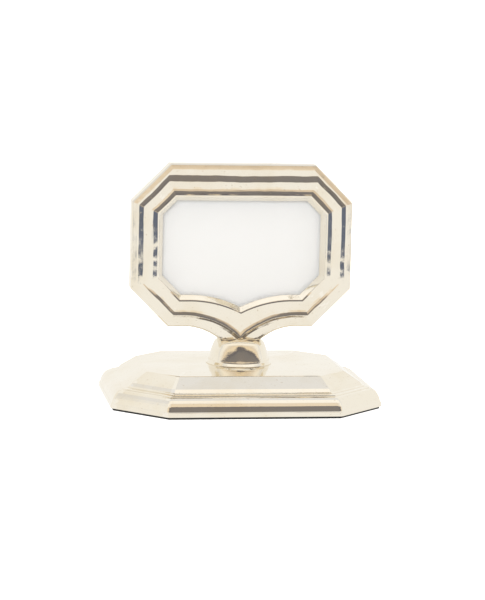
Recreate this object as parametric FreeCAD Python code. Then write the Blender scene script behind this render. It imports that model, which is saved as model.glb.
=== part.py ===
"""Table number holder: a polished octagonal frame that stands on a stepped octagonal base.

Frame: X across, Y front to back with the front towards -Y, Z up from the table. Millimetres.
The frame casting has three terraces that rise towards the window. A pane, a card and a backing
board lie in a pocket at its back, held by four turn buttons. One long screw from inside the
hollow base draws the base, the collar and the frame together. A steel plate and a felt pad close
the base.
"""

import math
import os

import FreeCAD, Part  # FreeCAD has to be imported first
from FreeCAD import Vector

# Overall size
BASE_WIDTH = 114.3
BASE_DEPTH = 95.0
TOTAL_HEIGHT = 100.3

# Base: octagon with 45 degree corner cuts, stepped up from its edge
BASE_CUT = 21.3
FELT_THICK = 1.0
FELT_INSET = 1.0
RIM_Z = FELT_THICK
TERRACE_INSET = 15.6
TERRACE_Z = 15.1
CROWN_INSET = 25.0
CROWN_Z = 15.4
PLATE_INSET = 2.2
PLATE_GAP = 0.1
PLATE_THICK = 1.5
CAVITY_LEVELS = ((4.2, 2.6), (4.2, 4.6), (6.5, 6.6), (14.0, 8.4), (18.5, 11.2), (20.5, 12.7))
BOSS_X, BOSS_Y = 36.0, 26.0
BOSS_RADIUS = 3.2
BOSS_HEIGHT = 7.5

# Collar between base and frame
COLLAR_TOP_Z = 25.9
COLLAR_FOOT_RADIUS = 13.9
COLLAR_BELLY_RADIUS = 12.9
COLLAR_NECK = (10.6, 24.4)
COLLAR_TOP_RADIUS = 9.2

# Frame casting: insets are measured in from its outline, rises forward from its back face
FRAME_WIDTH = 94.1
FRAME_BOTTOM_Z = 31.3
FRAME_CUT = 16.1
FRAME_BACK_Y = 4.75
RIM_THICK = 8.4
EDGE_ROUND = 0.5
EDGE_ROUND_DEPTH = 0.5
FIRST_RISER = (3.0, 4.9)
MIDDLE_RISE = 9.0
SECOND_RISER = (9.1, 10.8)
LIP_RISE = 9.5
WINDOW_BEVEL = (11.3, 13.4)
TOP_EXTRA = 2.4
LUG_HALF_WIDTH = 9.1
LUG_ARC_X = 24.0
OUTER_BOW = (24.0, 9.5)
INNER_BOW = (22.0, 5.3)
POCKET_INSET = 5.0
POCKET_BOTTOM_Z = 35.6
POCKET_DEPTH = 5.5
POCKET_CLEARANCE = 0.15

# Stack in the pocket, from the window to the back
PANE_THICK = 1.5
CARD_THICK = 0.5
BOARD_THICK = 3.0
VELVET_THICK = 0.5

# Fasteners: thread stands for plain cylinders of the major diameter
THREAD_GAP = 0.03
HOLE_EXTRA = 0.5
STEM_RADIUS = 1.5
STEM_TIP_Z = 33.5
STEM_CLEARANCE = 1.7
STEM_HEAD_RADIUS = 2.75
STEM_HEAD_THICK = 2.0
SOCKET_RADIUS = 1.25
SOCKET_DEPTH = 1.3
FLAT_WASHER = (1.6, 5.0, 0.8)
LOCK_WASHER = (1.6, 2.9, 0.8)
LOCK_SPLIT = (0.5, 30)
SCREW_CHAMFER = 0.4
PIN_RADIUS = 0.8
PIN_LENGTH = 4.0
BASE_PIN_Y = 8.6
LUG_PIN_X = 5.6
PLATE_SCREW_RADIUS = 1.25
PLATE_SCREW_LENGTH = 6.0
PLATE_SCREW_HEAD_RADIUS = 2.4
CROSS_RECESS = (2.6, 0.5, 0.7)
SINK_CLEARANCE = 0.05
BUTTON_PIVOT_INSET = 2.6
BUTTON_SCREW_RADIUS = 1.0
BUTTON_SCREW_DEPTH = 4.5
BUTTON_HEAD_RADIUS = 1.9
BUTTON_HEAD_THICK = 1.0
BUTTON_WASHER = (1.06, 2.0, 0.3)
BUTTON_HOLE_RADIUS = 1.05
BUTTON_THICK = 0.6
BUTTON_ROOT_RADIUS = 2.2
BUTTON_TIP_RADIUS = 1.5
BUTTON_REACH = 8.2
SLOT_WIDTH = 0.5
SLOT_DEPTH = 0.4

X_AXIS, Y_AXIS, Z_AXIS = Vector(1, 0, 0), Vector(0, 1, 0), Vector(0, 0, 1)
OVERLAP = 1.0  # how far pieces of one casting are sunk into each other before they are fused


def octagon(half_a, half_b, cut, inset):
    """Corners of an octagon with 45 degree cuts, its sides moved in by inset."""
    a, b = half_a - inset, half_b - inset
    c = cut - inset * (2 - math.sqrt(2))
    return [
        (-(a - c), -b), (a - c, -b), (a, -(b - c)), (a, b - c),
        (a - c, b), (-(a - c), b), (-a, b - c), (-a, -(b - c)),
    ]


def base_octagon(inset):
    return octagon(BASE_WIDTH / 2, BASE_DEPTH / 2, BASE_CUT, inset)


def polygon(points):
    return Part.Wire(Part.makePolygon(points + points[:1]))


def level(points, z):
    """Closed horizontal wire through (x, y) points at height z."""
    return polygon([Vector(x, y, z) for x, y in points])


def prism(points, low, high):
    return Part.Face(level(points, low)).extrude(Vector(0, 0, high - low))


def loft(wires):
    return Part.makeLoft(wires, True, True)


def turned(profile, axis_at=Vector(0, 0, 0), axis=Z_AXIS):
    """Solid of revolution of a closed (radius, height) outline of line and arc steps."""
    side = X_AXIS if axis == Z_AXIS else Z_AXIS
    face = Part.Face(outline(profile, axis_at, side, axis))
    return face.revolve(axis_at, axis, 360)


def outline(steps, origin, first, second):
    """Closed wire in the plane of two directions. A step is a point, or (mid, end) of an arc."""
    def at(p):
        return origin + first * p[0] + second * p[1]

    start = steps[0]
    here, edges = start, []
    for step in steps[1:]:
        if isinstance(step[0], tuple):
            mid, end = step
            edges.append(Part.Arc(at(here), at(mid), at(end)).toShape())
        else:
            end = step
            edges.append(Part.LineSegment(at(here), at(end)).toShape())
        here = end
    edges.append(Part.LineSegment(at(here), at(start)).toShape())
    return Part.Wire(edges)


def fused(shapes):
    body = shapes[0]
    if len(shapes) > 1:
        body = body.fuse(shapes[1:]).removeSplitter()
    return body


def save(name, *solids):
    shape = solids[0] if len(solids) == 1 else Part.makeCompound(list(solids))
    if not shape.isValid():
        raise ValueError(f"{name} is not valid")
    shape.exportStep(f"parts/{name}.step")
    print(f"{name}: {len(shape.Solids)} solid(s), {shape.Volume:.1f} mm3")


# ---------------------------------------------------------------- base

def base_moulding():
    """Section of the base rim as (inset, height), closed along its inner side and underside."""
    ovolo = ((1.5, 6.3), (3.6, 8.4))
    return [
        (0.0, RIM_Z), (0.15, 3.3), (0.5, 3.5), ovolo,
        (5.0, 8.6), (5.1, 8.9), (7.0, 9.1), (7.1, 9.4), (8.0, 9.6), (9.2, 10.9), (15.3, 15.0),
        (TERRACE_INSET, TERRACE_Z), (TERRACE_INSET + OVERLAP, TERRACE_Z),
        (TERRACE_INSET + OVERLAP, RIM_Z),
    ]


def base_outside():
    """The solid outer form: one mitred length of moulding on each side, then the crown."""
    outer, inner = base_octagon(0), base_octagon(TERRACE_INSET + OVERLAP)
    lengths = []
    for k in range(8):
        a, b = Vector(*outer[k], 0), Vector(*outer[(k + 1) % 8], 0)
        along = (b - a).normalize()
        inward = Z_AXIS.cross(along)
        section = Part.Face(outline(base_moulding(), a, inward, Z_AXIS))
        bar = section.extrude(along * a.distanceToPoint(b))
        wedge = prism([outer[k], outer[(k + 1) % 8], inner[(k + 1) % 8], inner[k]], 0, CROWN_Z)
        lengths.append(bar.common(wedge))
    core = prism(base_octagon(TERRACE_INSET), RIM_Z, TERRACE_Z)
    crown = loft([
        level(base_octagon(TERRACE_INSET), TERRACE_Z), level(base_octagon(CROWN_INSET), CROWN_Z),
    ])
    return fused(lengths + [core, crown])


def base_cavity():
    """The space under the base, with the rebate that takes the steel plate."""
    plate_top = RIM_Z + PLATE_THICK + PLATE_GAP
    rebate = prism(base_octagon(PLATE_INSET), 0, plate_top)
    steps = [rebate]
    for (in_low, low), (in_high, high) in zip(CAVITY_LEVELS, CAVITY_LEVELS[1:]):
        steps.append(loft([level(base_octagon(in_low), low), level(base_octagon(in_high), high)]))
    return fused(steps)


def boss_places():
    return [Vector(sx * BOSS_X, sy * BOSS_Y, 0) for sx in (-1, 1) for sy in (-1, 1)]


def base_shell():
    outside = base_outside()
    shell = outside.cut(base_cavity())
    boss_low = RIM_Z + PLATE_THICK + PLATE_GAP
    bosses = []
    for place in boss_places():
        boss = Part.makeCylinder(BOSS_RADIUS, BOSS_HEIGHT, place + Z_AXIS * boss_low)
        bosses.append(boss.common(outside))
    shell = fused([shell] + bosses)
    depth = RIM_Z + PLATE_SCREW_LENGTH + HOLE_EXTRA
    for place in boss_places():
        shell = shell.cut(Part.makeCylinder(PLATE_SCREW_RADIUS + THREAD_GAP, depth, place))
    stem_hole = Part.makeCylinder(STEM_CLEARANCE, TOTAL_HEIGHT)
    return shell.cut([stem_hole, base_pin(THREAD_GAP)])


def countersunk_screw(place, grow=0.0):
    """Screw with its flat head flush with the plate's underside, pointing up."""
    head = PLATE_SCREW_HEAD_RADIUS + grow
    body = PLATE_SCREW_RADIUS + grow
    cone = head - body
    profile = [
        (0, RIM_Z), (head, RIM_Z), (body, RIM_Z + cone),
        (body, RIM_Z + PLATE_SCREW_LENGTH), (0, RIM_Z + PLATE_SCREW_LENGTH),
    ]
    return turned(profile, place)


def plate_screw(place):
    screw = countersunk_screw(place)
    length, width, depth = CROSS_RECESS
    for turn in (0, 90):
        slot = Part.makeBox(length, width, depth, Vector(-length / 2, -width / 2, RIM_Z))
        slot.rotate(Vector(), Z_AXIS, turn)
        slot.translate(place)
        screw = screw.cut(slot)
    return screw


def base_plate():
    plate = prism(base_octagon(PLATE_INSET + PLATE_GAP), RIM_Z, RIM_Z + PLATE_THICK)
    for place in boss_places():
        plate = plate.cut(countersunk_screw(place, SINK_CLEARANCE))
    return plate


def felt_pad():
    return prism(base_octagon(FELT_INSET), 0, FELT_THICK)


# ---------------------------------------------------------------- collar and its fixings

def base_pin(grow=0.0):
    low = CROWN_Z - PIN_LENGTH / 2
    place = Vector(0, BASE_PIN_Y, low - grow)
    return Part.makeCylinder(PIN_RADIUS + grow, PIN_LENGTH + 2 * grow, place)


def lug_pin(grow=0.0):
    low = COLLAR_TOP_Z - PIN_LENGTH / 2
    place = Vector(LUG_PIN_X, 0, low - grow)
    return Part.makeCylinder(PIN_RADIUS + grow, PIN_LENGTH + 2 * grow, place)


def collar():
    """Bell turned from one piece: a foot ring, a full belly, a neck and a flat top."""
    foot_top, belly_z = CROWN_Z + 0.3, CROWN_Z + 1.5
    profile = [
        (STEM_CLEARANCE, CROWN_Z),
        (COLLAR_FOOT_RADIUS, CROWN_Z),
        (COLLAR_FOOT_RADIUS, foot_top),
        (COLLAR_BELLY_RADIUS, belly_z),
        ((COLLAR_BELLY_RADIUS - 0.5, belly_z + 3.3), COLLAR_NECK),
        (COLLAR_TOP_RADIUS, COLLAR_TOP_Z),
        (STEM_CLEARANCE, COLLAR_TOP_Z),
    ]
    return turned(profile).cut([base_pin(THREAD_GAP), lug_pin(THREAD_GAP)])


def washer(sizes, top_z):
    bore, radius, thick = sizes
    ring = Part.makeCylinder(radius, thick, Vector(0, 0, top_z - thick))
    return ring.cut(Part.makeCylinder(bore, thick, Vector(0, 0, top_z - thick)))


def stem_levels():
    """Undersides of the flat washer and the lock washer, going down from the cavity's ceiling."""
    flat_low = CAVITY_LEVELS[-1][1] - FLAT_WASHER[2]
    return flat_low, flat_low - LOCK_WASHER[2]


def lock_washer():
    """Split spring washer: a ring with a slanting cut."""
    flat_low, _ = stem_levels()
    ring = washer(LOCK_WASHER, flat_low)
    width, lean = LOCK_SPLIT
    length, height = 2 * LOCK_WASHER[1], 4 * LOCK_WASHER[2]
    gap = Part.makeBox(length, width, height, Vector(0, -width / 2, -height / 2))
    gap.rotate(Vector(), X_AXIS, lean)
    gap.translate(Vector(0, 0, flat_low - LOCK_WASHER[2] / 2))
    return ring.cut(gap)


def stem_screw():
    _, seat_z = stem_levels()
    head_z = seat_z - STEM_HEAD_THICK
    profile = [
        (0, head_z), (STEM_HEAD_RADIUS - SCREW_CHAMFER, head_z),
        (STEM_HEAD_RADIUS, head_z + SCREW_CHAMFER), (STEM_HEAD_RADIUS, seat_z),
        (STEM_RADIUS, seat_z), (STEM_RADIUS, STEM_TIP_Z - SCREW_CHAMFER),
        (STEM_RADIUS - SCREW_CHAMFER, STEM_TIP_Z), (0, STEM_TIP_Z),
    ]
    corners = [
        (SOCKET_RADIUS * math.cos(k * math.pi / 3), SOCKET_RADIUS * math.sin(k * math.pi / 3))
        for k in range(6)
    ]
    return turned(profile).cut(prism(corners, head_z, head_z + SOCKET_DEPTH))


# ---------------------------------------------------------------- frame casting

def rise_y(rise):
    """Y of a plane that is this far in front of the frame's back face."""
    return FRAME_BACK_Y - rise


def frame_corners(inset, top_extra=0.0):
    """(x, z) corners of the frame's octagon, from the lower left round over the top."""
    height = TOTAL_HEIGHT - FRAME_BOTTOM_Z
    middle = FRAME_BOTTOM_Z + height / 2
    around = octagon(FRAME_WIDTH / 2, height / 2, FRAME_CUT, inset)
    corners = [(x, z + middle) for x, z in around[:1] + around[:0:-1]]
    for k, side in ((3, -1), (4, 1)):
        x, z = corners[k]
        corners[k] = (x + side * top_extra, z - top_extra)
    return corners


def bow_radius(run, drop):
    return (run * run + drop * drop) / (2 * drop)


def bow_arc(start_x, level_z, radius, end_x, y):
    """Arc that leaves level_z at start_x and bends down to end_x, and the end's point."""
    def drop_at(x):
        return radius - math.sqrt(radius ** 2 - (start_x - x) ** 2)

    ends = [(start_x, level_z), (end_x, level_z - drop_at(end_x))]
    mid_x = (start_x + end_x) / 2
    mid = (mid_x, level_z - drop_at(mid_x))
    a, m, b = (Vector(x, y, z) for x, z in (ends[0], mid, ends[1]))
    return Part.Arc(a, m, b).toShape(), b


def contour(inset, rise, bow):
    """Closed frame outline at an inset: seven straight sides and a bow with a cusp below."""
    y = rise_y(rise)
    run, drop = bow
    points = [Vector(x, y, z) for x, z in frame_corners(inset, TOP_EXTRA)]
    level_z = points[0].z
    radius = bow_radius(run, drop)
    left, _ = bow_arc(-run, level_z, radius, 0, y)
    right, _ = bow_arc(run, level_z, radius, 0, y)
    edges = [Part.makeLine(a, b) for a, b in zip(points, points[1:])]
    edges.append(Part.makeLine(points[-1], Vector(run, y, level_z)))
    edges += [right, left]
    edges.append(Part.makeLine(Vector(-run, y, level_z), points[0]))
    return Part.Wire(Part.__sortEdges__(edges))


def lug_contour(inset, rise):
    """The outermost outline, whose bow runs into the lug that stands on the collar."""
    y = rise_y(rise)
    points = [Vector(x, y, z) for x, z in frame_corners(inset)]
    level_z = FRAME_BOTTOM_Z + inset
    run, drop = LUG_ARC_X - LUG_HALF_WIDTH, FRAME_BOTTOM_Z - COLLAR_TOP_Z
    radius = bow_radius(run, drop) + inset
    half = LUG_ARC_X - math.sqrt(radius ** 2 - (radius - (level_z - COLLAR_TOP_Z)) ** 2)
    left, left_foot = bow_arc(-LUG_ARC_X, level_z, radius, -half, y)
    right, right_foot = bow_arc(LUG_ARC_X, level_z, radius, half, y)
    edges = [Part.makeLine(a, b) for a, b in zip(points, points[1:])]
    edges.append(Part.makeLine(points[-1], Vector(LUG_ARC_X, y, level_z)))
    edges += [right, Part.makeLine(right_foot, left_foot), left]
    edges.append(Part.makeLine(Vector(-LUG_ARC_X, y, level_z), points[0]))
    return Part.Wire(Part.__sortEdges__(edges))


def slab(wire, depth):
    """Solid that reaches forward from a wire in an XZ plane."""
    return Part.Face(wire).extrude(Vector(0, -depth, 0))


def terrace(insets, rises, bow):
    """Sloped riser between two contours, with a foot sunk into the level below it."""
    low, high = contour(insets[0], rises[0], bow), contour(insets[1], rises[1], bow)
    sunk = slab(contour(insets[0], rises[0] - OVERLAP, bow), OVERLAP)
    return sunk.fuse(loft([low, high]))


def pocket_points(gap):
    """(x, z) corners of the octagonal pocket, its walls moved in by gap."""
    top = TOTAL_HEIGHT - POCKET_INSET
    half_x = FRAME_WIDTH / 2 - POCKET_INSET
    half_z, middle = (top - POCKET_BOTTOM_Z) / 2, (top + POCKET_BOTTOM_Z) / 2
    cut = FRAME_CUT - POCKET_INSET * (2 - math.sqrt(2))
    return [(x, z + middle) for x, z in octagon(half_x, half_z, cut, gap)]


def pocket_layer(thick, front_y, gap=POCKET_CLEARANCE):
    """Octagonal sheet in the pocket whose front is at front_y."""
    wire = polygon([Vector(x, front_y + thick, z) for x, z in pocket_points(gap)])
    return slab(wire, thick)


def frame_casting():
    edge_low = RIM_THICK - EDGE_ROUND_DEPTH
    rim = slab(lug_contour(0, 0), edge_low)
    edge = loft([lug_contour(0, edge_low), lug_contour(EDGE_ROUND, RIM_THICK)])
    first = terrace(FIRST_RISER, (RIM_THICK, MIDDLE_RISE), OUTER_BOW)
    second = terrace(SECOND_RISER, (MIDDLE_RISE, LIP_RISE), INNER_BOW)
    body = fused([rim, edge, first, second])
    window = loft([
        contour(WINDOW_BEVEL[1], POCKET_DEPTH, INNER_BOW),
        contour(WINDOW_BEVEL[0], LIP_RISE, INNER_BOW),
    ])
    through = slab(contour(WINDOW_BEVEL[1], 0, INNER_BOW), POCKET_DEPTH)
    beyond = slab(contour(WINDOW_BEVEL[0], LIP_RISE, INNER_BOW), OVERLAP)
    pocket = pocket_layer(POCKET_DEPTH, rise_y(POCKET_DEPTH), 0)
    under = Part.makeCylinder(2 * COLLAR_TOP_RADIUS, COLLAR_TOP_Z)
    body = body.cut([window, through, beyond, pocket, under])
    stem_hole = Part.makeCylinder(
        STEM_RADIUS + THREAD_GAP, STEM_TIP_Z + HOLE_EXTRA - COLLAR_TOP_Z, Vector(0, 0, COLLAR_TOP_Z))
    holes = [stem_hole, lug_pin(THREAD_GAP)]
    for place, _ in button_places():
        depth = BUTTON_SCREW_DEPTH + HOLE_EXTRA
        mouth = Vector(place.x, FRAME_BACK_Y, place.z)
        holes.append(Part.makeCylinder(BUTTON_SCREW_RADIUS + THREAD_GAP, depth, mouth, -Y_AXIS))
    return body.cut(holes)


# ---------------------------------------------------------------- turn buttons

def button_places():
    """Pivot on each corner cut, and the direction from it to the middle of the frame."""
    middle = (FRAME_BOTTOM_Z + TOTAL_HEIGHT) / 2
    half_x, half_z = FRAME_WIDTH / 2, (TOTAL_HEIGHT - FRAME_BOTTOM_Z) / 2
    places = []
    for up in (1, -1):
        for side in (1, -1):
            inward = Vector(-side, 0, -up).normalize()
            corner = Vector(side * (half_x - FRAME_CUT / 2), 0, middle + up * (half_z - FRAME_CUT / 2))
            places.append((corner + inward * BUTTON_PIVOT_INSET, inward))
    return places


def turn_button(place, inward):
    """Flat brass catch: a round root on the pivot that tapers to a rounded tip."""
    low_y = FRAME_BACK_Y + BUTTON_WASHER[2]
    across = inward.cross(Y_AXIS)
    root = Vector(place.x, low_y, place.z)
    tip = root + inward * BUTTON_REACH
    lean = math.asin((BUTTON_ROOT_RADIUS - BUTTON_TIP_RADIUS) / BUTTON_REACH)

    def rim_point(centre, radius, side):
        return centre + inward * (radius * math.sin(lean)) + across * (side * radius * math.cos(lean))

    root_a, root_b = (rim_point(root, BUTTON_ROOT_RADIUS, s) for s in (1, -1))
    tip_a, tip_b = (rim_point(tip, BUTTON_TIP_RADIUS, s) for s in (1, -1))
    edges = [
        Part.Arc(root_a, root - inward * BUTTON_ROOT_RADIUS, root_b).toShape(),
        Part.makeLine(root_b, tip_b),
        Part.Arc(tip_b, tip + inward * BUTTON_TIP_RADIUS, tip_a).toShape(),
        Part.makeLine(tip_a, root_a),
    ]
    plate = Part.Face(Part.Wire(edges)).extrude(Y_AXIS * BUTTON_THICK)
    return plate.cut(Part.makeCylinder(BUTTON_HOLE_RADIUS, BUTTON_THICK, root, Y_AXIS))


def button_screw(place):
    """Round-headed slotted screw that the button turns on."""
    seat = FRAME_BACK_Y + BUTTON_WASHER[2] + BUTTON_THICK + THREAD_GAP
    rim, crown = (BUTTON_HEAD_RADIUS, seat), (0, seat + BUTTON_HEAD_THICK)
    mid = (BUTTON_HEAD_RADIUS * 0.62, seat + BUTTON_HEAD_THICK * 0.72)
    profile = [
        (0, FRAME_BACK_Y - BUTTON_SCREW_DEPTH), (BUTTON_SCREW_RADIUS, FRAME_BACK_Y - BUTTON_SCREW_DEPTH),
        (BUTTON_SCREW_RADIUS, seat), rim, (mid, crown),
    ]
    screw = turned(profile, Vector(place.x, 0, place.z), Y_AXIS)
    width = 2 * BUTTON_HEAD_RADIUS
    low = Vector(place.x - width / 2, crown[1] - SLOT_DEPTH, place.z - SLOT_WIDTH / 2)
    slot = Part.makeBox(width, SLOT_DEPTH, SLOT_WIDTH, low)
    return screw.cut(slot)


def button_washer(place):
    bore, radius, thick = BUTTON_WASHER
    seat = Vector(place.x, FRAME_BACK_Y, place.z)
    return Part.makeCylinder(radius, thick, seat, Y_AXIS).cut(Part.makeCylinder(bore, thick, seat, Y_AXIS))


# ---------------------------------------------------------------- files

def main():
    os.makedirs("parts", exist_ok=True)
    save("felt_pad", felt_pad())
    save("base_plate", base_plate())
    save("base_plate_screws", *[plate_screw(p) for p in boss_places()])
    save("base_shell", base_shell())
    save("collar", collar())
    save("locating_pins", base_pin(), lug_pin())
    save("stem_screw", stem_screw())
    save("stem_washer", washer(FLAT_WASHER, CAVITY_LEVELS[-1][1]))
    save("stem_lock_washer", lock_washer())
    save("frame_casting", frame_casting())

    front_y = rise_y(POCKET_DEPTH)
    layers = (
        ("window_pane", PANE_THICK), ("number_card", CARD_THICK),
        ("backing_board", BOARD_THICK), ("backing_velvet", VELVET_THICK),
    )
    for name, thick in layers:
        save(name, pocket_layer(thick, front_y))
        front_y += thick

    corners = ("upper_right", "upper_left", "lower_right", "lower_left")
    for name, (place, inward) in zip(corners, button_places()):
        save(f"turn_button_{name}", turn_button(place, inward))
    save("turn_button_screws", *[button_screw(p) for p, _ in button_places()])
    save("turn_button_washers", *[button_washer(p) for p, _ in button_places()])


main()
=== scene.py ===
import math
import bmesh
import bpy
from mathutils import Matrix, Vector, noise


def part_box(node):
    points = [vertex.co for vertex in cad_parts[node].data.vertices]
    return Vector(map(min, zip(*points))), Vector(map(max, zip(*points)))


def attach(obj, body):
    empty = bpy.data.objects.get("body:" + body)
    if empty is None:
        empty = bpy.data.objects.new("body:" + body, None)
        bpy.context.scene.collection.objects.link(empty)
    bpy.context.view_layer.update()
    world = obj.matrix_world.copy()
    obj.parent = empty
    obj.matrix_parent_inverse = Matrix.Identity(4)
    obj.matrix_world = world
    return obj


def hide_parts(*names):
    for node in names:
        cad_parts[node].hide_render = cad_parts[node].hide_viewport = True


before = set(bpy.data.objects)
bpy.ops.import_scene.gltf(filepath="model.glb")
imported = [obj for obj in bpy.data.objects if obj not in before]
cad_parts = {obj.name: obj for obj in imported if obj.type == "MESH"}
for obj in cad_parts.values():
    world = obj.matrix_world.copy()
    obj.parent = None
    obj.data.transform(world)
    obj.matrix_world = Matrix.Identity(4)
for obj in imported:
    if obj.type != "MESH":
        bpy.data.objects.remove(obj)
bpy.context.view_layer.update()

# Looks of the table number holder: polished cast silver frame, collar and stepped base.
# Lengths in this file are millimetres unless a comment says otherwise; meshes are made in metres.
MM = 0.001


def cad_box(node):
    lo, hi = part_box(node)
    return lo / MM, hi / MM


# ------------------------------------------------------------------ sizes, from the CAD boxes
CAST_LO, CAST_HI = cad_box("frame_casting")
BASE_LO, BASE_HI = cad_box("base_shell")
COLLAR_LO, COLLAR_HI = cad_box("collar")
PANE_LO, _ = cad_box("window_pane")

HALF_W = CAST_HI.x
TOP_Z = CAST_HI.z
FOOT_Z = CAST_LO.z
BACK_Y = CAST_HI.y
BOTTOM_Z = 31.3
FRAME_CUT = 16.1
# How much further down the mouldings of the top side lie, by inset from the outline
TOP_EXTRA = [(3.0, 1.95), (4.9, 2.65), (9.1, 2.3)]
LUG_HALF, LUG_ARC_X = 9.1, 24.0
# Bows at the bottom as (half width, how far the cusp hangs)
OUTER_BOW, INNER_BOW = (24.0, 9.5), (22.0, 5.3)
POCKET_INSET, POCKET_BOTTOM, POCKET_CORNER = 5.0, 35.6, 0.3
POCKET_DEPTH = BACK_Y - PANE_LO.y
BASE_CUT = 21.3


# ------------------------------------------------------------------ curve helpers
def lerp(a, b, t):
    return a + (b - a) * t


def piecewise(table, x):
    """Value at x of a table of (x, value), level beyond its ends."""
    for (x0, y0), (x1, y1) in zip(table, table[1:]):
        if x0 <= x <= x1:
            return lerp(y0, y1, (x - x0) / (x1 - x0))
    return table[0][1] if x < table[0][0] else table[-1][1]


def smooth(t):
    t = min(1.0, max(0.0, t))
    return t * t * (3 - 2 * t)


SAME_POINT = 0.012
FILLET_STEP = math.radians(9)


def fillet_path(points, step=0.16):
    """Points (u, v, radius) joined by straights with rounded corners, sampled finely."""
    out = []
    pts = [Vector((p[0], p[1])) for p in points]
    radii = [p[2] if len(p) > 2 else 0.0 for p in points]
    last = pts[0]
    out.append(last.copy())

    def run(a, b):
        n = max(1, int((b - a).length / (step * 4)))
        edge = min(0.05, (b - a).length / 4)
        d = (b - a).normalized() if (b - a).length > 1e-9 else Vector((0, 0))
        marks = [a + d * edge]
        marks += [a.lerp(b, k / n) for k in range(1, n)]
        marks += [b - d * edge, b]
        for m in marks:
            if (m - out[-1]).length > SAME_POINT:
                out.append(m.copy())

    for k in range(1, len(pts) - 1):
        a, c, b = pts[k - 1], pts[k], pts[k + 1]
        r = radii[k]
        u, w = (a - c).normalized(), (b - c).normalized()
        angle = math.acos(max(-1, min(1, u.dot(w))))
        if r <= 0 or angle > math.pi - 0.01:
            run(last, c)
            last = c
            continue
        reach = min(r / math.tan(angle / 2), (a - c).length * 0.49, (b - c).length * 0.49)
        r = reach * math.tan(angle / 2)
        t1, t2 = c + u * reach, c + w * reach
        run(last, t1)
        centre = c + (u + w).normalized() * (r / math.sin(angle / 2))
        v1, v2 = t1 - centre, t2 - centre
        sweep = math.pi - angle
        n = max(3, int(sweep / FILLET_STEP))
        for j in range(1, n + 1):
            f = j / n
            d = (v1 * math.sin((1 - f) * sweep) + v2 * math.sin(f * sweep)) / math.sin(sweep)
            out.append(centre + d)
        last = t2
    run(last, pts[-1])
    return [(p.x, p.y) for p in out]


ROUND_STEPS = 4


def rounded_ring(corners, radius, counts):
    """Closed polygon with softened corners. counts[k] is the number of spans on side k."""
    n = len(corners)
    arcs = []
    for k in range(n):
        a, c, b = (Vector(corners[(k + j) % n]) for j in (-1, 0, 1))
        u, w = (a - c).normalized(), (b - c).normalized()
        angle = math.acos(max(-1, min(1, u.dot(w))))
        if angle > math.pi - 0.02:
            arcs.append([c + (b - a).normalized() * (0.02 * (j - ROUND_STEPS / 2))
                         for j in range(ROUND_STEPS + 1)])
            continue
        reach = radius / math.tan(angle / 2)
        reach = min(reach, (a - c).length * 0.3, (b - c).length * 0.3)
        r = reach * math.tan(angle / 2)
        centre = c + (u + w).normalized() * (r / math.sin(angle / 2))
        v1, v2 = c + u * reach - centre, c + w * reach - centre
        sweep = math.pi - angle
        pts = []
        for j in range(ROUND_STEPS + 1):
            f = j / ROUND_STEPS
            d = (v1 * math.sin((1 - f) * sweep) + v2 * math.sin(f * sweep)) / math.sin(sweep)
            pts.append(centre + d)
        arcs.append(pts)
    ring = []
    for k in range(n):
        ring += arcs[k]
        a, b = arcs[k][-1], arcs[(k + 1) % n][0]
        edge = 0.25 / max(0.3, (b - a).length)
        spans = counts[k]
        marks = [edge] + [j / spans for j in range(1, spans)] + [1 - edge]
        ring += [a.lerp(b, f) for f in marks]
    return ring


def octagon(half_a, half_b, cut, inset):
    """Corners of an octagon with 45 degree cuts, its sides moved in by inset."""
    a, b = half_a - inset, half_b - inset
    c = cut - inset * (2 - math.sqrt(2))
    return [(-(a - c), -b), (a - c, -b), (a, -(b - c)), (a, b - c),
            (a - c, b), (-(a - c), b), (-a, b - c), (-a, -(b - c))]


# ------------------------------------------------------------------ mesh helpers
def make_object(name, verts, faces, material, sharp_angle):
    """Smooth-shaded piece of the holder, with its vertices given in millimetres."""
    mesh = bpy.data.meshes.new(name)
    mesh.from_pydata([Vector(v) * MM for v in verts], [], faces)
    bm = bmesh.new()
    bm.from_mesh(mesh)
    bmesh.ops.recalc_face_normals(bm, faces=bm.faces)
    bm.to_mesh(mesh)
    bm.free()
    mesh.polygons.foreach_set("use_smooth", [True] * len(mesh.polygons))
    mesh.set_sharp_from_angle(angle=math.radians(sharp_angle))
    obj = bpy.data.objects.new(name, mesh)
    bpy.context.scene.collection.objects.link(obj)
    mesh.materials.append(material)
    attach(obj, "holder")
    return obj


def ring_faces(n_rings, n_pts, first=0):
    """Quads of a closed tube: rings of n_pts vertices, the last ring joined to the first."""
    faces = []
    for i in range(n_rings):
        a, b = first + i * n_pts, first + ((i + 1) % n_rings) * n_pts
        for k in range(n_pts):
            m = (k + 1) % n_pts
            faces.append((a + k, a + m, b + m, b + k))
    return faces


def wave(p, scale, seed):
    return noise.noise(Vector(p) / scale + Vector((seed, seed * 1.7, -seed)))


def cast_surface(obj, amounts, keep):
    """Moves the skin in and out by (amount, scale, seed) waves, as a hand-finished casting is
    uneven. keep(place, normal) says how much of that each vertex gets."""
    mesh = obj.data
    mesh.update()
    normals = [v.normal.copy() for v in mesh.vertices]
    for v, n in zip(mesh.vertices, normals):
        p = v.co / MM
        d = sum(wave(p, scale, seed) * amount for amount, scale, seed in amounts)
        d *= keep(p, n)
        v.co += n * d * MM
    mesh.update()


# ------------------------------------------------------------------ node helpers
def node(tree, kind, **settings):
    n = tree.nodes.new(kind)
    for key, value in settings.items():
        setattr(n, key, value)
    return n


def link(tree, a, b):
    tree.links.new(a, b)


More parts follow.
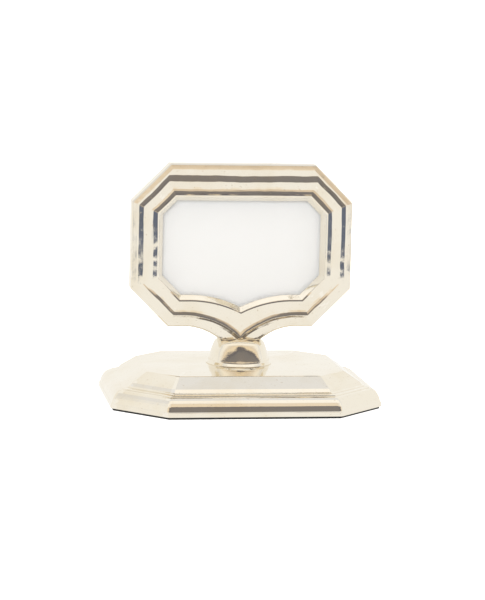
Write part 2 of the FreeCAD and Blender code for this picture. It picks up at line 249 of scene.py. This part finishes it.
def ramp(tree, source, stops):
    r = node(tree, "ShaderNodeValToRGB")
    while len(r.color_ramp.elements) < len(stops):
        r.color_ramp.elements.new(0.5)
    for e, (at, colour) in zip(r.color_ramp.elements, stops):
        e.position = at
        e.color = (*colour, 1)
    link(tree, source, r.inputs[0])
    return r.outputs[0]


def math_node(tree, op, a, b, clamp=False):
    n = node(tree, "ShaderNodeMath", operation=op, use_clamp=clamp)
    for k, v in enumerate((a, b)):
        if isinstance(v, (int, float)):
            n.inputs[k].default_value = v
        else:
            link(tree, v, n.inputs[k])
    return n.outputs[0]


def map_range(tree, value, a, b, c=0.0, d=1.0):
    """Goes smoothly from c to d as the value goes from a to b."""
    n = node(tree, "ShaderNodeMapRange", interpolation_type="SMOOTHSTEP")
    link(tree, value, n.inputs[0])
    for k, v in enumerate((a, b, c, d)):
        n.inputs[k + 1].default_value = v
    return n.outputs[0]


def mix(tree, fac, a, b):
    n = node(tree, "ShaderNodeMix", data_type="RGBA")
    for socket, v in ((n.inputs[0], fac), (n.inputs[6], a), (n.inputs[7], b)):
        if isinstance(v, (int, float)):
            socket.default_value = v
        elif isinstance(v, tuple):
            socket.default_value = (*v, 1)
        else:
            link(tree, v, socket)
    return n.outputs[2]


def noise_tex(tree, coord, scale, detail=4.0, rough=0.55, stretch=None):
    if stretch:
        m = node(tree, "ShaderNodeMapping")
        m.inputs["Scale"].default_value = stretch
        link(tree, coord, m.inputs[0])
        coord = m.outputs[0]
    n = node(tree, "ShaderNodeTexNoise")
    n.inputs["Scale"].default_value = scale
    n.inputs["Detail"].default_value = detail
    n.inputs["Roughness"].default_value = rough
    link(tree, coord, n.inputs["Vector"])
    return n.outputs[0]


def new_material(name):
    m = bpy.data.materials.new(name)
    m.use_nodes = True
    tree = m.node_tree
    shader = tree.nodes["Principled BSDF"]
    coord = node(tree, "ShaderNodeTexCoord").outputs["Object"]
    return m, tree, shader, coord


def bump(tree, height, strength, distance_mm):
    b = node(tree, "ShaderNodeBump")
    b.inputs["Strength"].default_value = strength
    b.inputs["Distance"].default_value = distance_mm * MM
    link(tree, height, b.inputs["Height"])
    return b


# ------------------------------------------------------------------ materials
def metal(name, light, dark, hollow_tone, rough, grain_mm, grain_depth, pit_depth, stretch=None):
    m, tree, shader, coord = new_material(name)
    shader.inputs["Metallic"].default_value = 1.0
    cloud = noise_tex(tree, coord, 55, 5)
    fine = noise_tex(tree, coord, 1000 / grain_mm, 4, 0.6, stretch)
    pits = noise_tex(tree, coord, 900, 2, 0.5)
    pit_mask = map_range(tree, pits, 0.66, 0.76)
    point = node(tree, "ShaderNodeNewGeometry").outputs["Pointiness"]
    edge = map_range(tree, point, 0.53, 0.58)
    recess = map_range(tree, point, 0.485, 0.44)
    tone = ramp(tree, cloud, [(0.3, dark), (0.55, light), (0.8, light)])
    # Recesses (low pointiness) and pits are made darker, flecked by the fine noise
    speck = math_node(tree, "MULTIPLY", recess, map_range(tree, fine, 0.42, 0.6))
    tone = mix(tree, math_node(tree, "MULTIPLY", speck, 0.55), tone, hollow_tone)
    tone = mix(tree, math_node(tree, "MULTIPLY", pit_mask, 0.35), tone, hollow_tone)
    tone = mix(tree, math_node(tree, "MULTIPLY", edge, 0.4), tone, (0.97, 0.94, 0.88))
    link(tree, tone, shader.inputs["Base Color"])
    smear = noise_tex(tree, coord, 160, 3, 0.6, (1.0, 1.0, 0.35))
    roughness = map_range(tree, smear, 0.3, 0.75, rough[0], rough[1])
    roughness = math_node(tree, "ADD", roughness, math_node(tree, "MULTIPLY", pit_mask, 0.15))
    link(tree, roughness, shader.inputs["Roughness"])
    low = bump(tree, fine, 1.0, grain_depth)
    high = bump(tree, math_node(tree, "SUBTRACT", 1.0, pit_mask), 1.0, pit_depth)
    link(tree, low.outputs[0], high.inputs["Normal"])
    link(tree, high.outputs[0], shader.inputs["Normal"])
    return m


SILVER = metal("polished_silver", (0.885, 0.835, 0.735), (0.845, 0.775, 0.64), (0.60, 0.47, 0.31),
               (0.05, 0.12), 1.5, 0.02, 0.008)
BRASS = metal("brushed_brass", (0.86, 0.66, 0.34), (0.72, 0.50, 0.22), (0.40, 0.26, 0.10),
              (0.22, 0.36), 0.5, 0.006, 0.003, (1.0, 1.0, 6.0))
ZINC = metal("zinc_plated_steel", (0.66, 0.67, 0.68), (0.54, 0.55, 0.56), (0.33, 0.31, 0.28),
             (0.24, 0.4), 0.7, 0.006, 0.003)


def fibre(name, base, deep, scale, sheen, rough, depth):
    m, tree, shader, coord = new_material(name)
    cloud = noise_tex(tree, coord, 60, 4)
    nap = noise_tex(tree, coord, scale, 3, 0.7)
    tone = mix(tree, map_range(tree, cloud, 0.3, 0.7), deep, base)
    tone = mix(tree, math_node(tree, "MULTIPLY", nap, 0.45), tone, deep)
    point = node(tree, "ShaderNodeNewGeometry").outputs["Pointiness"]
    lift = tuple(min(1.0, c * 2.2 + 0.02) for c in base)
    tone = mix(tree, math_node(tree, "MULTIPLY", map_range(tree, point, 0.52, 0.6), 0.6), tone, lift)
    link(tree, tone, shader.inputs["Base Color"])
    link(tree, map_range(tree, nap, 0.2, 0.8, rough - 0.08, rough + 0.05), shader.inputs["Roughness"])
    shader.inputs["Sheen Weight"].default_value = sheen
    shader.inputs["Sheen Roughness"].default_value = 0.45
    shader.inputs["Specular IOR Level"].default_value = 0.2
    link(tree, bump(tree, nap, 0.8, depth).outputs[0], shader.inputs["Normal"])
    return m


VELVET = fibre("black_velvet", (0.010, 0.011, 0.017), (0.002, 0.002, 0.004), 900, 0.12, 0.9, 0.3)
FELT = fibre("black_felt", (0.012, 0.012, 0.013), (0.004, 0.004, 0.004), 1500, 0.05, 0.95, 0.2)


def board(name, base, dark, depth):
    m, tree, shader, coord = new_material(name)
    cloud = noise_tex(tree, coord, 30, 3)
    grain = noise_tex(tree, coord, 1800, 3, 0.6)
    tone = mix(tree, map_range(tree, cloud, 0.2, 0.8), dark, base)
    tone = mix(tree, math_node(tree, "MULTIPLY", grain, 0.2), tone, dark)
    link(tree, tone, shader.inputs["Base Color"])
    link(tree, map_range(tree, grain, 0.2, 0.8, 0.65, 0.8), shader.inputs["Roughness"])
    shader.inputs["Specular IOR Level"].default_value = 0.25
    link(tree, bump(tree, grain, 0.3, depth).outputs[0], shader.inputs["Normal"])
    return m


CARD = board("white_card", (0.90, 0.90, 0.90), (0.885, 0.885, 0.885), 0.01)
GREYBOARD = board("greyboard", (0.40, 0.37, 0.33), (0.30, 0.275, 0.24), 0.06)


def pane_material():
    m, tree, shader, coord = new_material("clear_pane")
    smear = noise_tex(tree, coord, 70, 3)
    link(tree, mix(tree, map_range(tree, smear, 0.3, 0.7), (0.95, 0.97, 0.96), (0.97, 0.98, 0.98)),
         shader.inputs["Base Color"])
    link(tree, map_range(tree, smear, 0.4, 0.8, 0.03, 0.08), shader.inputs["Roughness"])
    shader.inputs["IOR"].default_value = 1.5
    shader.inputs["Alpha"].default_value = 0.10
    link(tree, bump(tree, smear, 0.05, 0.02).outputs[0], shader.inputs["Normal"])
    return m


PANE = pane_material()

# ------------------------------------------------------------------ frame casting
# Front section as (inset from the outline, rise from the back face, corner radius): side wall, rim,
# first riser, flat band, second riser, lip, then the bevel down to the window
FRAME_SECTION = [
    (0.0, 3.0), (0.0, 7.3, 0.15), (0.55, 8.0, 0.05), (2.2, 8.23, 0.3), (3.0, 8.27, 0.15),
    (3.95, 8.58, 2.0), (4.9, 8.95, 0.25), (5.5, 8.86, 1.0), (6.3, 8.8, 1.0), (7.2, 8.78, 2.0),
    (8.2, 8.82, 1.5), (9.1, 8.94, 0.8), (9.95, 9.2, 2.0), (10.8, 9.5, 0.2), (11.5, 9.5, 0.2),
    (13.3, POCKET_DEPTH + 0.9, 0.1),
    (13.4, POCKET_DEPTH),
]
BACK_EDGE = 0.25
BACK_SECTION = [(0.0, 3.0), (0.0, BACK_EDGE, 0.2), (BACK_EDGE, 0.0)]
# How much lower the section runs near the bottom of the frame, by inset
BOW_DROP = [(3.0, 0.0), (4.9, 0.3), (6.3, 0.55), (9.1, 0.75), (10.8, 1.05), (11.5, 1.29), (13.4, 0.0)]


def bow_points(start_x, level, radius, end_x, spans):
    """Arc that leaves the level at start_x and bends down to end_x."""
    out = []
    for j in range(spans + 1):
        x = lerp(start_x, end_x, j / spans)
        drop = radius - math.sqrt(max(0.0, radius ** 2 - (start_x - x) ** 2))
        out.append((x, level - drop))
    return out


def frame_corners(inset, extra):
    """(x, z) corners from the lower left round over the top, whose side is lowered by extra."""
    half_z = (TOP_Z - BOTTOM_Z) / 2
    mid = BOTTOM_Z + half_z
    c = octagon(HALF_W, half_z, FRAME_CUT, inset)
    around = [(x, z + mid) for x, z in c[:1] + c[:0:-1]]
    for k, s in ((3, -1), (4, 1)):
        x, z = around[k]
        around[k] = (x + s * extra, z - extra)
    return around


# Spans on each half of the bows: over the lug's arc and along the foot that stands on the collar
ARC_SPANS, FOOT_SPANS = 26, 10
BOW_SPANS = ARC_SPANS + FOOT_SPANS


def outline_lug(inset):
    """The outermost outline, whose bow runs into the lug that stands on the collar."""
    corners = frame_corners(inset, 0)
    level = BOTTOM_Z + inset
    run, drop = LUG_ARC_X - LUG_HALF, BOTTOM_Z - FOOT_Z
    radius = (run * run + drop * drop) / (2 * drop) + inset
    half = LUG_ARC_X - math.sqrt(radius ** 2 - (radius - (level - FOOT_Z)) ** 2)
    right = bow_points(LUG_ARC_X, level, radius, half, ARC_SPANS)
    foot = [(lerp(half, 0, j / FOOT_SPANS), FOOT_Z) for j in range(1, FOOT_SPANS + 1)]
    return corners, right + foot


def outline_bow(inset, bow):
    """An outline whose two bows meet in a cusp."""
    corners = frame_corners(inset, piecewise(TOP_EXTRA, inset))
    run, drop = bow
    level = BOTTOM_Z + inset
    radius = (run * run + drop * drop) / (2 * drop)
    right = bow_points(run, level, radius, 0, BOW_SPANS)
    return corners, [(x, max(z, FOOT_Z)) for x, z in right]


# Spans on the seven straight sides and on the pieces of the bottom side either side of the bows
SIDE_SPANS = [24, 36, 24, 60, 24, 36, 24, 7]
BETWEEN_BOWS, LAST_SPANS = 1, 7


def frame_ring(corners, right, radius):
    """Ring of (x, z) from the lower left corner over the top to the right bow and back."""
    tail = [Vector(p) for p in right]
    full = [Vector(c) for c in corners] + [tail[0], Vector((-tail[0].x, tail[0].y))]
    ring = rounded_ring([tuple(p) for p in full], radius, SIDE_SPANS + [BETWEEN_BOWS, LAST_SPANS])
    # the span between the two bow starts, with its two corners, is replaced by the bows
    per_corner = ROUND_STEPS + 1
    start = sum(per_corner + spans + 1 for spans in SIDE_SPANS)
    end = start + per_corner + BETWEEN_BOWS + 1 + per_corner
    left = [Vector((-p.x, p.y)) for p in tail[-2::-1]]
    return ring[:start] + tail + left + ring[end:]


# Insets where the lug's outline has turned into the outer bow's, and that into the inner bow's
LUG_ENDS, LUG_TURN = 2.1, 0.55
OUTER_ENDS, BOW_TURN = 5.8, 2.8
SHARP_INSET, RIM_CORNER, MOULDING_CORNER = 2.5, 0.25, 0.35


def frame_outline(s):
    lug = outline_lug(s)
    outer = outline_bow(s, OUTER_BOW)
    inner = outline_bow(s, INNER_BOW)
    radius = MOULDING_CORNER if s > SHARP_INSET else RIM_CORNER
    if s <= OUTER_ENDS:
        a, b, t = lug, outer, (s - LUG_ENDS) / LUG_TURN
    else:
        a, b, t = outer, inner, (s - OUTER_ENDS) / BOW_TURN
    t = min(1.0, max(0.0, t))
    ra, rb = frame_ring(*a, radius), frame_ring(*b, radius)
    return [p.lerp(q, t) for p, q in zip(ra, rb)]


def pocket_ring():
    """The pocket's outline, with one point for each point of the frame's rings."""
    half_x = HALF_W - POCKET_INSET
    top = TOP_Z - POCKET_INSET
    half_z, mid = (top - POCKET_BOTTOM) / 2, (top + POCKET_BOTTOM) / 2
    cut = FRAME_CUT - POCKET_INSET * (2 - math.sqrt(2))
    c = octagon(half_x, half_z, cut, 0)
    corners = [(x, z + mid) for x, z in c[:1] + c[:0:-1]]
    tail_x = 21.0
    right = [(lerp(tail_x, 0, j / BOW_SPANS), POCKET_BOTTOM) for j in range(BOW_SPANS + 1)]
    return frame_ring(corners, right, POCKET_CORNER)


# The drop starts at DROP_FROM above the table and is whole DROP_OVER below it
DROP_FROM, DROP_OVER = 53.0, 9.0
# The pocket's walls lie within this reach of the back, above this height and this far from the middle
POCKET_REACH, POCKET_ABOVE, POCKET_HALF = 5.4, 30, 44


def wander(p, seed, amount):
    """Sideways stray of a moulding, so that its edges are not ruler straight."""
    spot = (p.x, p.y, seed * 2.0)
    return (wave(spot, 9, seed) * 0.30 + wave(spot, 3.1, seed) * 0.14) * amount


def build_frame():
    path = fillet_path(FRAME_SECTION)
    rings = []

    def add(points, rise, drop=0.0, loose=0.0):
        rings.append([(p.x + wander(p, 4.2, loose),
                       BACK_Y - rise + drop * smooth((DROP_FROM - p.y) / DROP_OVER),
                       p.y + wander(p, 8.8, loose)) for p in points])

    for s, rise in path:
        # the rim's edge and the window's edge stay true
        loose = smooth((s - 2.0) / 0.8) * smooth((11.2 - s) / 1.2)
        add(frame_outline(s), rise, piecewise(BOW_DROP, s), loose)
    window = frame_outline(path[-1][0])
    pocket = pocket_ring()
    add([a.lerp(b, 0.5) for a, b in zip(window, pocket)], POCKET_DEPTH)
    for rise in (POCKET_DEPTH, 2.0, 0.15):
        add(pocket, rise)
    outer = frame_outline(BACK_EDGE)
    for t in (0.04, 0.3, 0.6, 0.95):
        add([a.lerp(b, t) for a, b in zip(pocket, outer)], 0.0)
    for s, rise in reversed(fillet_path(BACK_SECTION)[1:]):
        add(frame_outline(s), rise)
    verts = [v for ring in rings for v in ring]
    obj = make_object("frame", verts, ring_faces(len(rings), len(window)), SILVER, 40)

    def keep(p, n):
        # the pocket's walls stay true
        in_pocket = p.y > BACK_Y - POCKET_REACH and p.z > POCKET_ABOVE and abs(p.x) < POCKET_HALF
        return 0.0 if in_pocket and abs(n.y) < 0.3 else 1.0

    cast_surface(obj, [(0.07, 13, 3.1), (0.05, 4.6, 7.7), (0.02, 1.7, 2.2)], keep)
    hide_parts("frame_casting")


# ------------------------------------------------------------------ base
BASE_RIM_Z = BASE_LO.z
# Outer section as (inset, height, corner radius): rim, ovolo, two fillets, step, chamfer and crown
BASE_SECTION = [
    (0.0, BASE_RIM_Z), (0.12, 2.8, 0.2), (0.45, 3.0, 0.12), (1.1, 5.1, 3.0), (1.8, 6.4, 2.0),
    (2.6, 7.4, 1.5), (3.6, 8.15, 1.0), (5.0, 8.5, 0.12), (5.1, 8.85, 0.1), (7.0, 9.12, 0.12),
    (7.1, 9.35, 0.1), (8.0, 9.6, 0.4), (9.2, 10.9, 0.4), (15.3, 15.0, 0.3),
    (15.8, 15.12, 0.5), (25.0, BASE_HI.z, 2.0),
]
CAVITY_TOP, PLATE_SEAT = 12.7, 2.6
CAVITY = [
    (20.5, CAVITY_TOP), (18.5, 11.2), (14.0, 8.4), (6.5, 6.6), (4.2, 4.6), (4.2, PLATE_SEAT),
    (2.2, PLATE_SEAT), (2.2, BASE_RIM_Z),
]
STEM_HOLE = 1.7
# Discs round the stem's hole as (radius, height), from the crown through the hole to the cavity
STEM_RINGS = [
    (16.0, BASE_HI.z), (8.0, BASE_HI.z), (STEM_HOLE, BASE_HI.z), (STEM_HOLE, CAVITY_TOP),
    (10.0, CAVITY_TOP),
]
BASE_SPANS = [60, 20, 40, 20, 60, 20, 40, 20]
BOSS_X, BOSS_Y, BOSS_TOP = 36.0, 26.0, 7.4
BOSS_RADIUS, BOSS_HOLE, BOSS_SEGMENTS = 3.2, 1.28, 24
CROWN_CORNER, CAVITY_CORNER = 0.45, 0.3


def base_ring(inset, radius):
    corners = octagon(BASE_HI.x, BASE_HI.y, BASE_CUT, inset)
    return rounded_ring(corners, radius, BASE_SPANS)


def base_corner(inset):
    """Upright edges of the base: soft low down, crisper towards the chamfer."""
    return lerp(2.6, 0.6, smooth(inset / 9.0))


def circle_points(radius, segments):
    angles = [k * math.tau / segments for k in range(segments)]
    return [(radius * math.cos(a), radius * math.sin(a)) for a in angles]


def boss(x, y):
    """Screw boss under the crown: a tube with its foot at the plate."""
    section = [
        (BOSS_HOLE, PLATE_SEAT), (BOSS_RADIUS, PLATE_SEAT), (BOSS_RADIUS, BOSS_TOP), (BOSS_HOLE, BOSS_TOP),
    ]
    return [(x + dx, y + dy, z) for r, z in section for dx, dy in circle_points(r, BOSS_SEGMENTS)]


def build_base():
    verts, count = [], 0

    def add(points, z):
        nonlocal count
        verts.extend((p.x, p.y, z) for p in points)
        count += 1

    for s, z in fillet_path(BASE_SECTION):
        add(base_ring(s, base_corner(s)), z)
    last = base_ring(BASE_SECTION[-1][0], CROWN_CORNER)
    for radius, z in STEM_RINGS:
        add([p.normalized() * radius for p in last], z)
    for s, z in CAVITY:
        add(base_ring(s, CAVITY_CORNER), z)
    faces = ring_faces(count, len(last))
    for side in (-1, 1):
        for end in (-1, 1):
            faces += ring_faces(4, BOSS_SEGMENTS, len(verts))
            verts += boss(BOSS_X * side, BOSS_Y * end)
    obj = make_object("base", verts, faces, SILVER, 40)

    def keep(p, n):
        outside = p.z > 2.7 and n.z > -0.2
        return 1.0 if outside and abs(p.x) + abs(p.y) > 3 else 0.0

    cast_surface(obj, [(0.06, 18, 5.3), (0.02, 5, 9.1)], keep)
    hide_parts("base_shell")


# ------------------------------------------------------------------ collar
COLLAR_SEGMENTS = 96
BELLY_RADIUS, BELLY_Z, BELL_STEP = 12.93, 1.95, 0.12


def bell_section(height):
    """(radius, height above the foot) of the bell, which leans in more and more to the neck."""
    # (height above the foot, lean in degrees)
    lean = [(BELLY_Z, 9.0), (2.6, 13.0), (6.0, 18.0), (8.6, 24.0), (9.2, 36.0), (height - 0.25, 62.0)]
    section, r, z = [], BELLY_RADIUS, BELLY_Z
    while z < lean[-1][0]:
        r -= BELL_STEP * math.tan(math.radians(piecewise(lean, z + BELL_STEP / 2)))
        z += BELL_STEP
        section.append((r, z))
    return section


def build_collar():
    z0, z1 = COLLAR_LO.z, COLLAR_HI.z
    foot = COLLAR_HI.x
    low = fillet_path([(STEM_HOLE, z0), (foot, z0, 0.1), (foot, z0 + 0.3, 0.15), (13.05, z0 + 1.3, 0.3),
                       (12.95, z0 + 1.75, 0.2), (BELLY_RADIUS, z0 + BELLY_Z)], 0.08)
    bell = bell_section(z1 - z0)
    neck = bell[-1][0]
    path = low + [(r, z0 + z) for r, z in bell]
    path += [(neck - 0.3, z1 - 0.05), (neck - 0.5, z1), (STEM_HOLE, z1)]
    verts = [(x, y, z) for r, z in path for x, y in circle_points(r, COLLAR_SEGMENTS)]
    obj = make_object("collar", verts, ring_faces(len(path), COLLAR_SEGMENTS), SILVER, 50)

    def keep(p, n):
        outside = smooth((math.hypot(p.x, p.y) - 8.0) / 1.5)
        return outside * smooth((p.z - z0) / 0.8) * smooth((z1 - p.z) / 0.5)

    cast_surface(obj, [(0.06, 6, 1.3), (0.02, 2.6, 4.4)], keep)
    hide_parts("collar")


build_frame()
build_base()
build_collar()

# ------------------------------------------------------------------ pieces carried over from the CAD
FINISHES = {
    "felt_pad": FELT, "base_plate": ZINC, "base_plate_screws": ZINC, "locating_pins": ZINC,
    "stem_screw": ZINC, "stem_washer": ZINC, "stem_lock_washer": ZINC, "window_pane": PANE,
    "number_card": CARD, "backing_board": GREYBOARD, "backing_velvet": VELVET,
    "turn_button_upper_right": BRASS, "turn_button_upper_left": BRASS,
    "turn_button_lower_right": BRASS, "turn_button_lower_left": BRASS,
    "turn_button_screws": BRASS, "turn_button_washers": BRASS,
}
EDGE_WEAR = 0.08

for name, material in FINISHES.items():
    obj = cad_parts[name]
    obj.data.materials.clear()
    obj.data.materials.append(material)
    if material in (BRASS, ZINC):
        edge = obj.modifiers.new("edge", "BEVEL")
        edge.width = EDGE_WEAR * MM
        edge.segments = 2
        edge.limit_method = "ANGLE"
        edge.angle_limit = math.radians(35)


# ------------------------------------------------------------------ floor, studio light and camera
# Lengths in this section are metres.
FLOOR_HALF, FLOOR_DROP = 20.0, 0.00002
# Two dark patches on the floor, which only reflections see. They start this far from the middle, and
# each lies between bearings, in degrees from the front: fade in from, to, fade out to, from.
PATCH_START = (0.42, 0.48)
LEFT_PATCH, RIGHT_PATCH = (-13, -19, -75, -60), (31, 37, 85, 70)
FLOOR_GLOW, PATCH_GLOW = (1.0, 0.985, 0.95), (0.15, 0.175, 0.245)
# What the camera sees of the floor and past it: a lift added to the lit floor, and plain white
FLOOR_LIFT, BACKDROP_STRENGTH = 0.75, 1.1


def patch(tree, bearing, in_from, in_to, out_to, out_from):
    rad = math.radians
    return math_node(tree, "MULTIPLY", map_range(tree, bearing, rad(in_from), rad(in_to)),
                     map_range(tree, bearing, rad(out_to), rad(out_from)))


def build_floor():
    mesh = bpy.data.meshes.new("floor")
    r = FLOOR_HALF
    mesh.from_pydata([(-r, -r, 0), (r, -r, 0), (r, r, 0), (-r, r, 0)], [], [(0, 1, 2, 3)])
    obj = bpy.data.objects.new("floor", mesh)
    obj.location.z = -FLOOR_DROP
    bpy.context.scene.collection.objects.link(obj)
    m = bpy.data.materials.new("pale_floor")
    m.use_nodes = True
    tree = m.node_tree
    tree.nodes.clear()
    out = node(tree, "ShaderNodeOutputMaterial")
    place = node(tree, "ShaderNodeNewGeometry").outputs["Position"]
    xyz = node(tree, "ShaderNodeSeparateXYZ")
    link(tree, place, xyz.inputs[0])
    x, y = xyz.outputs[0], xyz.outputs[1]
    front = math_node(tree, "MULTIPLY", y, -1.0)
    bearing = math_node(tree, "ARCTAN2", x, front)
    squares = math_node(tree, "ADD", math_node(tree, "MULTIPLY", x, x), math_node(tree, "MULTIPLY", y, y))
    far = map_range(tree, math_node(tree, "SQRT", squares, 0.0), *PATCH_START)
    both = math_node(tree, "ADD", patch(tree, bearing, *LEFT_PATCH), patch(tree, bearing, *RIGHT_PATCH),
                     clamp=True)
    colour = mix(tree, math_node(tree, "MULTIPLY", far, both), FLOOR_GLOW, PATCH_GLOW)
    seen = node(tree, "ShaderNodeLightPath").outputs["Is Camera Ray"]
    glow = node(tree, "ShaderNodeEmission")
    link(tree, colour, glow.inputs[0])
    diffuse = node(tree, "ShaderNodeBsdfDiffuse")
    diffuse.inputs[0].default_value = (0.9, 0.9, 0.9, 1)
    lift = node(tree, "ShaderNodeEmission")
    lift.inputs[0].default_value = (1, 1, 1, 1)
    lift.inputs[1].default_value = FLOOR_LIFT
    add = node(tree, "ShaderNodeAddShader")
    link(tree, diffuse.outputs[0], add.inputs[0])
    link(tree, lift.outputs[0], add.inputs[1])
    choose = node(tree, "ShaderNodeMixShader")
    link(tree, seen, choose.inputs[0])
    link(tree, glow.outputs[0], choose.inputs[1])
    link(tree, add.outputs[0], choose.inputs[2])
    link(tree, choose.outputs[0], out.inputs[0])
    mesh.materials.append(m)


# The studio by direction. Arc runs from the front horizon (0) over the zenith (0.5) to the back
# horizon (1): a pale strip, a dark band low in front, a golden edge above it, then cream, with a
# grey stretch just past the zenith.
SKY = [
    (0.0, (0.80, 0.74, 0.64)), (0.030, (0.70, 0.60, 0.47)), (0.075, (0.60, 0.50, 0.39)),
    (0.098, (0.21, 0.19, 0.18)), (0.160, (0.19, 0.18, 0.18)), (0.195, (0.13, 0.125, 0.14)),
    (0.208, (0.19, 0.175, 0.18)), (0.230, (0.82, 0.70, 0.52)), (0.28, (0.68, 0.60, 0.51)),
    (0.32, (0.78, 0.73, 0.66)), (0.40, (0.90, 0.87, 0.82)), (0.52, (0.92, 0.90, 0.87)),
    (0.56, (0.71, 0.715, 0.73)), (0.64, (0.72, 0.725, 0.73)), (0.72, (0.92, 0.91, 0.89)),
    (1.0, (0.78, 0.80, 0.82)),
]
SKY_STRENGTH, SKY_WOBBLE = 1.25, 0.04
# Away from straight ahead the dark band sits lower by this much arc, between these bearings
BAND_LOWER, BAND_BEARINGS = 0.03, (10, 26)
# The sides and the back, past these bearings, are one cream, but for a cool grey just past the zenith
SIDE_BEARINGS, SIDE_COLOUR = (72, 86), (0.80, 0.79, 0.76)
GREY_ARCS, GREY_COLOUR = ((0.52, 0.55), (0.68, 0.62)), (0.705, 0.71, 0.725)


def build_world():
    world = bpy.data.worlds.new("studio")
    bpy.context.scene.world = world
    world.use_nodes = True
    tree = world.node_tree
    tree.nodes.clear()
    out = node(tree, "ShaderNodeOutputWorld")
    xyz = node(tree, "ShaderNodeSeparateXYZ")
    coord = node(tree, "ShaderNodeTexCoord").outputs["Generated"]
    link(tree, coord, xyz.inputs[0])
    x, y, z = xyz.outputs
    soft = noise_tex(tree, coord, 3.0, 2)
    wobble = math_node(tree, "MULTIPLY", math_node(tree, "SUBTRACT", soft, 0.5), SKY_WOBBLE)
    front = math_node(tree, "MULTIPLY", y, -1.0)
    arc = math_node(tree, "DIVIDE", math_node(tree, "ARCTAN2", z, front), math.pi)
    arc = math_node(tree, "ADD", arc, wobble)
    bearing = math_node(tree, "ABSOLUTE", math_node(tree, "ARCTAN2", x, front), 0.0)
    lower = map_range(tree, bearing, *(math.radians(b) for b in BAND_BEARINGS), 0.0, BAND_LOWER)
    arc = math_node(tree, "ADD", arc, lower)
    side = map_range(tree, bearing, *(math.radians(b) for b in SIDE_BEARINGS))
    colour = mix(tree, side, ramp(tree, arc, SKY), SIDE_COLOUR)
    overhead = math_node(tree, "MULTIPLY", *(map_range(tree, arc, *ends) for ends in GREY_ARCS))
    colour = mix(tree, overhead, colour, GREY_COLOUR)
    seen = node(tree, "ShaderNodeLightPath").outputs["Is Camera Ray"]
    background = node(tree, "ShaderNodeBackground")
    link(tree, colour, background.inputs[0])
    background.inputs[1].default_value = SKY_STRENGTH
    plain = node(tree, "ShaderNodeBackground")
    plain.inputs[0].default_value = (1, 1, 1, 1)
    plain.inputs[1].default_value = BACKDROP_STRENGTH
    choose = node(tree, "ShaderNodeMixShader")
    link(tree, seen, choose.inputs[0])
    link(tree, background.outputs[0], choose.inputs[1])
    link(tree, plain.outputs[0], choose.inputs[2])
    link(tree, choose.outputs[0], out.inputs[0])


def area_light(name, place, size, power, colour):
    data = bpy.data.lights.new(name, "AREA")
    data.shape = "DISK"
    data.size = size
    data.energy = power
    data.color = colour
    obj = bpy.data.objects.new(name, data)
    obj.location = place
    obj.rotation_mode = "QUATERNION"
    obj.rotation_quaternion = (Vector((0, 0, 0.05)) - Vector(place)).to_track_quat("-Z", "Y")
    obj.visible_glossy = False
    bpy.context.scene.collection.objects.link(obj)


def build_camera():
    """Long lens a metre away, a little to the left of the object and a little above it."""
    distance, yaw, pitch, roll = 1.0, 0.162, 0.146, 0.0235
    target = Vector((1.1, 0, 42.2)) * MM
    forward = Vector((math.sin(yaw) * math.cos(pitch), math.cos(yaw) * math.cos(pitch), -math.sin(pitch)))
    right = Vector((math.cos(yaw), -math.sin(yaw), 0))
    up = right.cross(forward)
    right_rolled = right * math.cos(roll) + up * math.sin(roll)
    up_rolled = up * math.cos(roll) - right * math.sin(roll)
    data = bpy.data.cameras.new("camera")
    data.sensor_width = 36
    data.lens = 141.3
    data.clip_start, data.clip_end = 0.01, 100
    obj = bpy.data.objects.new("camera", data)
    bpy.context.scene.collection.objects.link(obj)
    basis = Matrix((right_rolled, up_rolled, -forward)).transposed().to_4x4()
    basis.translation = target - forward * distance
    obj.matrix_world = basis
    bpy.context.scene.camera = obj


build_floor()
build_world()
area_light("front_fill", (-0.35, -1.3, 0.5), 0.9, 9.2, (0.90, 0.95, 1.0))
area_light("back_fill", (0.4, 1.2, 0.9), 0.7, 6.0, (1.0, 0.99, 0.97))
build_camera()

scene = bpy.context.scene
scene.view_settings.view_transform = "Standard"
scene.view_settings.look = "None"
